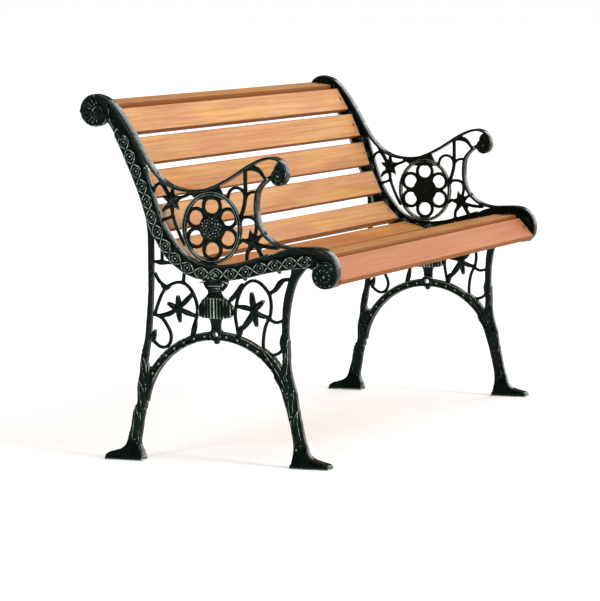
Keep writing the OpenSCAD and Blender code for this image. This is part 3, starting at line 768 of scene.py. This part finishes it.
def rear_leg():
    outer = smooth([(-152, 503), (-149, 484), (-146.5, 462), (-146, 440), (-146, 400), (-146.5, 345),
                    (-150, 300), (-152, 280), (-154, 258), (-157, 241), (-161.5, 226), (-165, 210),
                    (-167, 195), (-168, 180), (-170, 170), (-173, 158), (-174, 148), (-174, 122),
                    (-177, 113), (-182.5, 104), (-186, 88), (-189, 69), (-193, 57), (-196, 46),
                    (-199, 36), (-204, 28), (-217, 21), (-236, 16), (-246, 9)], 2)
    inner = smooth([(-136, 470), (-136, 430), (-136, 390), (-137.5, 340), (-140, 300), (-142.5, 266),
                    (-144.5, 246), (-147, 232), (-150, 212), (-152.5, 200), (-151, 189), (-146, 178),
                    (-141, 163), (-144.5, 152), (-148.5, 140), (-152, 130), (-155, 120), (-157, 110),
                    (-158.5, 99), (-161, 89), (-163, 79), (-164.5, 69), (-166, 59), (-168, 49),
                    (-170, 39), (-169, 30), (-165, 19), (-163, 8)], 2)
    return outline([*outer, *inner[::-1]])


def front_leg():
    outer = smooth([(204, 404), (190.5, 391), (176.5, 372), (168.5, 350), (162.5, 325), (158.5, 298),
                    (157, 270), (158.5, 245), (159.5, 220), (161.5, 195), (167.5, 170), (173, 152),
                    (174.5, 138), (178, 118), (182, 98), (186, 78), (190, 60), (194.5, 46), (197, 36),
                    (201, 27), (211, 19), (226, 14.5), (239, 11.5), (245, 8)], 2)
    inner = smooth([(165, 400), (165, 388), (158, 368), (152, 348), (148, 330), (146, 310), (144.5, 285),
                    (144, 262), (144.5, 236), (145, 213), (142, 200), (134, 192), (126, 183), (129, 174),
                    (135.5, 165), (140, 155), (143.5, 145), (146.5, 135), (149.5, 125), (152.5, 115),
                    (155, 105), (157.5, 95), (160, 85), (162, 75), (164, 65), (165.5, 55), (166.5, 45),
                    (166.5, 35), (166, 26), (164.5, 16), (163, 8)], 2)
    return outline([*outer, *inner[::-1]])


def sheaths():
    """Leaves wrapped round the legs like bark, each with its tip standing off."""
    blades = [
        [(-160, 222, 2), (-160, 208, 8), (-156, 190, 12), (-153, 165, 7)],
        [(-145, 192, 2), (-147, 182, 5), (-150, 170, 7), (-154, 156, 5)],
        [(-169, 164, 2), (-165, 151, 9), (-162, 134, 13), (-160, 108, 9)],
        [(-153, 150, 2), (-154, 138, 5), (-156, 124, 5), (-160, 106, 4)],
        [(-178, 111, 2), (-176, 98, 9), (-175, 82, 14), (-178, 50, 17)],
        [(-166, 98, 2), (-167, 82, 5), (-170, 60, 6), (-174, 36, 5)],
        [(158, 256, 2), (156.5, 240, 5), (155, 218, 9), (153, 190, 8)],
        [(146, 215, 2), (148, 196, 6), (152, 178, 8), (158, 162, 5)],
        [(170, 157, 2), (167, 146, 9), (163, 130, 13), (164, 106, 9)],
        [(144, 160, 2), (149, 150, 5), (156, 142, 6), (164, 138, 3)],
        [(178, 115, 2), (175, 104, 8), (173, 88, 13), (178, 52, 17)],
        [(162, 96, 2), (166, 82, 5), (170, 64, 6), (174, 38, 5)],
        [(102, 237, 2), (114, 225, 9), (130, 206, 13), (146, 180, 11), (156, 150, 5)]]
    return [bar(blade) for blade in blades]


def legs(casting):
    """Legs that thicken to the soles, with the arch between them and leaves wrapped round them."""
    shape = joined([rear_leg(), front_leg()])
    spread = ease(-VV, -46, -7)
    bark = 0.7 * np.abs(np.sin((UU + 0.12 * VV) * 0.9 + 2 * np.sin(VV * 0.05)))
    low = LEG_X[0] * (1 - spread) + bark
    high = LEG_X[1] + (SOLE_X - LEG_X[1]) * spread - bark
    casting.add(shape, low, high, edge=2.6, blend=3)
    for blade in sheaths():
        rise = 0.6 + 1.7 * ridge(blade - 1.6, 1.5)
        casting.add(blade, low - rise, high + 0.6 * rise, edge=1.2, blend=0.8)
    away, angle = from_point(ARCH), angle_at(ARCH)
    between_legs = (VV > 120) & (np.abs(UU - ARCH[0]) < 164)
    arch = np.where(between_legs, ring(ARCH, ARCH_R + ARCH_T / 2, ARCH_T), NOTHING)
    channel = ease(ARCH_T / 2 - np.abs(away - ARCH_R), 2.4, 4.2)
    step = math.radians(8.5)
    turn = (angle - math.pi / 2) / step
    bead = ridge(np.hypot((turn - np.round(turn)) * step * ARCH_R, away - ARCH_R), 3.3)
    dent = 3.2 * channel * (1 - bead)
    casting.add(arch, LEG_X[0] + dent, LEG_X[1] - dent, edge=2.4, blend=3)
    casting.add(soles(), 0.0, SOLE_X, edge=2.0, blend=3)
    lip = ridge(from_point(BOSS) - BOSS_R + 2.6, 2.4)
    casting.add(disc(BOSS, BOSS_R), LEG_X[0] - 1.0 * lip, LEG_X[1] + 0.5 * lip, edge=2.2)
    casting.add(disc(KNOB, 5), LEG_X[0] + 0.5, LEG_X[1] - 0.5, edge=4)


def soles():
    """The flat soles of both feet, with their upper edges eased."""
    rear = outline([(-246, 0), (-246, 6), (-242, 8.5), (-164, 8.5), (-162, 6), (-162, 0)])
    front = outline([(160, 0), (160, 6), (162, 8.5), (241, 8.5), (245, 6), (245, 0)])
    return np.maximum(rear, front)


def width_of(slat):
    return BACK_W if slat in BACK else SEAT_W


def on_slat(slat, along_face, out):
    """A place (u, v) given in a slat's own directions: along its face, and out of it."""
    u, v, slope = slat
    c, s = math.cos(math.radians(slope)), math.sin(math.radians(slope))
    return u + along_face * c - out * s, v + along_face * s + out * c


def ledge(casting):
    """The shelf behind the slats, with a lug of its own for the front slat."""
    for slats in (BACK + SEAT[:-1], SEAT[-1:]):
        sides = [[on_slat(s, e * width_of(s) / 2, out) for s in slats for e in (-1, 1)]
                 for out in (-SLAT_T, -SLAT_T - LEDGE_T)]
        casting.add(outline([*sides[0], *sides[1][::-1]]), WEB_X[0], LEDGE_X, edge=1.2, blend=1.5)
    for slat in BACK + SEAT:
        casting.bore_ledge(slat)


def end_frame_mesh():
    """One end frame, from the legs up to the scrolls that lie over everything else."""
    casting = Casting()
    legs(casting)
    band(casting)
    ledge(casting)
    rose(casting)
    casting.add(joined(arm_tracery(), 3), *TRACERY_X, edge=2.4)
    casting.add(joined(vines(), 3), *TRACERY_X, edge=2.5)
    for leaf in leaves():
        keel = 0.45 * np.clip(leaf, 0, 6)
        casting.add(leaf, TRACERY_X[0] - keel, TRACERY_X[1] - 0.5 + keel, edge=1.6)
    stars(casting)
    vase(casting)
    seed_head(casting)
    for strip in rails():
        casting.add(strip, 0.0, RAIL_X, edge=1.6, blend=1.5)
    scrolls(casting)
    casting.bore(BOSS, BRACE_HOLE_R)
    return casting.surface()


# ---------------------------------------------------------------- pieces
TRIANGLES = 190_000               # the most that one piece may have


def to_row(x, u, v, side):
    """Points of an end frame's drawing in the row frame, m: side is -1 on the left and 1 on the right."""
    return np.stack([side * (BENCH_HALF - np.asarray(x) * MM), -(np.asarray(u) + FRAME_SHIFT) * MM,
                     np.asarray(v) * MM], axis=-1)


def make(name, points, faces, material, marks):
    """A smooth mesh object, with a number or a vector per point for each mark."""
    mesh = bpy.data.meshes.new(name)
    mesh.from_pydata(points.tolist(), [], faces)
    for mark, values in marks.items():
        values = np.asarray(values, np.float32)
        kind = ("FLOAT_VECTOR", "vector") if values.ndim == 2 else ("FLOAT", "value")
        mesh.attributes.new(mark, kind[0], "POINT").data.foreach_set(kind[1], values.ravel())
    mesh.polygons.foreach_set("use_smooth", [True] * len(mesh.polygons))
    mesh.materials.append(material)
    mesh.validate()
    ob = bpy.data.objects.new(name, mesh)
    bpy.context.collection.objects.link(ob)
    return ob


def bake_modifiers(ob):
    """Makes the result of an object's modifiers its own mesh."""
    shape = ob.evaluated_get(bpy.context.evaluated_depsgraph_get())
    mesh = bpy.data.meshes.new_from_object(shape)
    ob.modifiers.clear()
    ob.data = mesh


def end_frames(material):
    points, faces = end_frame_mesh()
    edge = edge_measure(points, faces)
    for name, side in (("left", -1), ("right", 1)):
        turned = faces if side > 0 else faces[:, ::-1]
        ob = make("cast_frame_" + name, to_row(*points.T, side), turned.tolist(), material, {"edge": edge})
        if 2 * len(faces) > TRIANGLES:
            thin = ob.modifiers.new("thin", "DECIMATE")
            thin.ratio = TRIANGLES / (2 * len(faces))
            bake_modifiers(ob)
        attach(ob, "root")
        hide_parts("end_frame_" + name)


def slat_section(width):
    """Section of a slat in its own directions, (along the face, out of it), with eased edges."""
    radius, steps = SLAT_EDGE_R, 4
    points = []
    for corner, (su, sv) in enumerate(((1, 1), (-1, 1), (-1, -1), (1, -1))):
        for k in range(steps + 1):
            a = math.radians(90 * (corner + k / steps))
            points.append((su * (width / 2 - radius) + radius * math.cos(a),
                           -SLAT_T / 2 + sv * (SLAT_T / 2 - radius) + radius * math.sin(a)))
    return np.array(points)


def slat(name, node, place, number, tone, rosy, material):
    """One board: eased edges and ends, very slightly cupped and bowed, with its own piece of grain."""
    chance = np.random.default_rng(100 + number)
    width = width_of(place)
    section = slat_section(width)
    start, end = RAIL_X + END_GAP, 2 * BENCH_HALF / MM - RAIL_X - END_GAP
    eased, cup, bow_height, sink = 1.0, 0.10, 0.12, 0.12
    stations = np.concatenate([[start, start + 0.3 * eased, start + eased],
                               np.linspace(start + 24, end - 24, 45), [end - eased, end - 0.3 * eased, end]])
    inset = np.zeros(len(stations))
    inset[[0, -1]], inset[[1, -2]] = eased, 0.3 * eased
    bow = bow_height * np.sin(np.linspace(0, math.pi * 3, len(stations)) + chance.uniform(0, 6))
    middle = np.array([0, -SLAT_T / 2])
    points, board = [], []
    shift = chance.uniform(0, 900, 3)
    for x, shrink, lift in zip(stations, inset, bow * (inset == 0)):
        scale = 1 - shrink / np.array([width / 2, SLAT_T / 2])
        along_face, out = ((section - middle) * scale + middle).T
        out = out - cup * (1 - np.cos(along_face / width * math.pi)) - sink + lift
        out = np.maximum(out, -SLAT_T)
        u, v = on_slat(place, along_face, out)
        points.append(to_row(np.full(len(u), x), u, v, -1))
        board.append(np.stack([np.full(len(u), x), along_face, out], axis=1) * MM + shift)
    n, m = len(section), len(stations)
    faces = [[i * n + j, i * n + (j + 1) % n, (i + 1) * n + (j + 1) % n, (i + 1) * n + j]
             for i in range(m - 1) for j in range(n)]
    faces += [list(range(n))[::-1], list(range((m - 1) * n, m * n))]
    # The board's narrow faces, which the timber paints dark brown as shade
    shaded_narrow_faces = np.abs(section[:, 0]) > width / 2 - 1.6
    marks = {"board": np.concatenate(board),
             "narrow": np.tile(shaded_narrow_faces, m).astype(float),
             "end": np.repeat(inset > 0, n).astype(float),
             "tone": np.full(n * m, tone + chance.uniform(-0.2, 0.2)),
             "rosy": np.full(n * m, rosy)}
    ob = make(name, np.concatenate(points), faces, material, marks)
    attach(ob, "root")
    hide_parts(node)


def slats(material):
    """All slats: the back's are paler than the seat's, and the front one is rosy."""
    for number, place in enumerate(BACK):
        slat(f"back_board_{number + 1}", f"back_slat_{number + 1}", place, number, 0.2, 0.0, material)
    tones_and_rosiness = ((0.7, 0.0), (0.9, 0.0), (0.9, 0.0), (0.4, 0.0), (0.3, 0.75))
    for number, (place, (tone, rosy)) in enumerate(zip(SEAT, tones_and_rosiness)):
        slat(f"seat_board_{number + 1}", f"seat_slat_{number + 1}", place, len(BACK) + number,
             tone, rosy, material)


def fasteners(material):
    """The CAD's bolts, washers and nuts stay as they are, in dark steel."""
    for name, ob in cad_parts.items():
        if name.split("_")[1] in ("bolts", "washers", "nuts"):
            ob.data.materials.clear()
            ob.data.materials.append(material)


camera()
studio()
floor()
end_frames(cast_paint())
slats(timber())
fasteners(dark_steel())
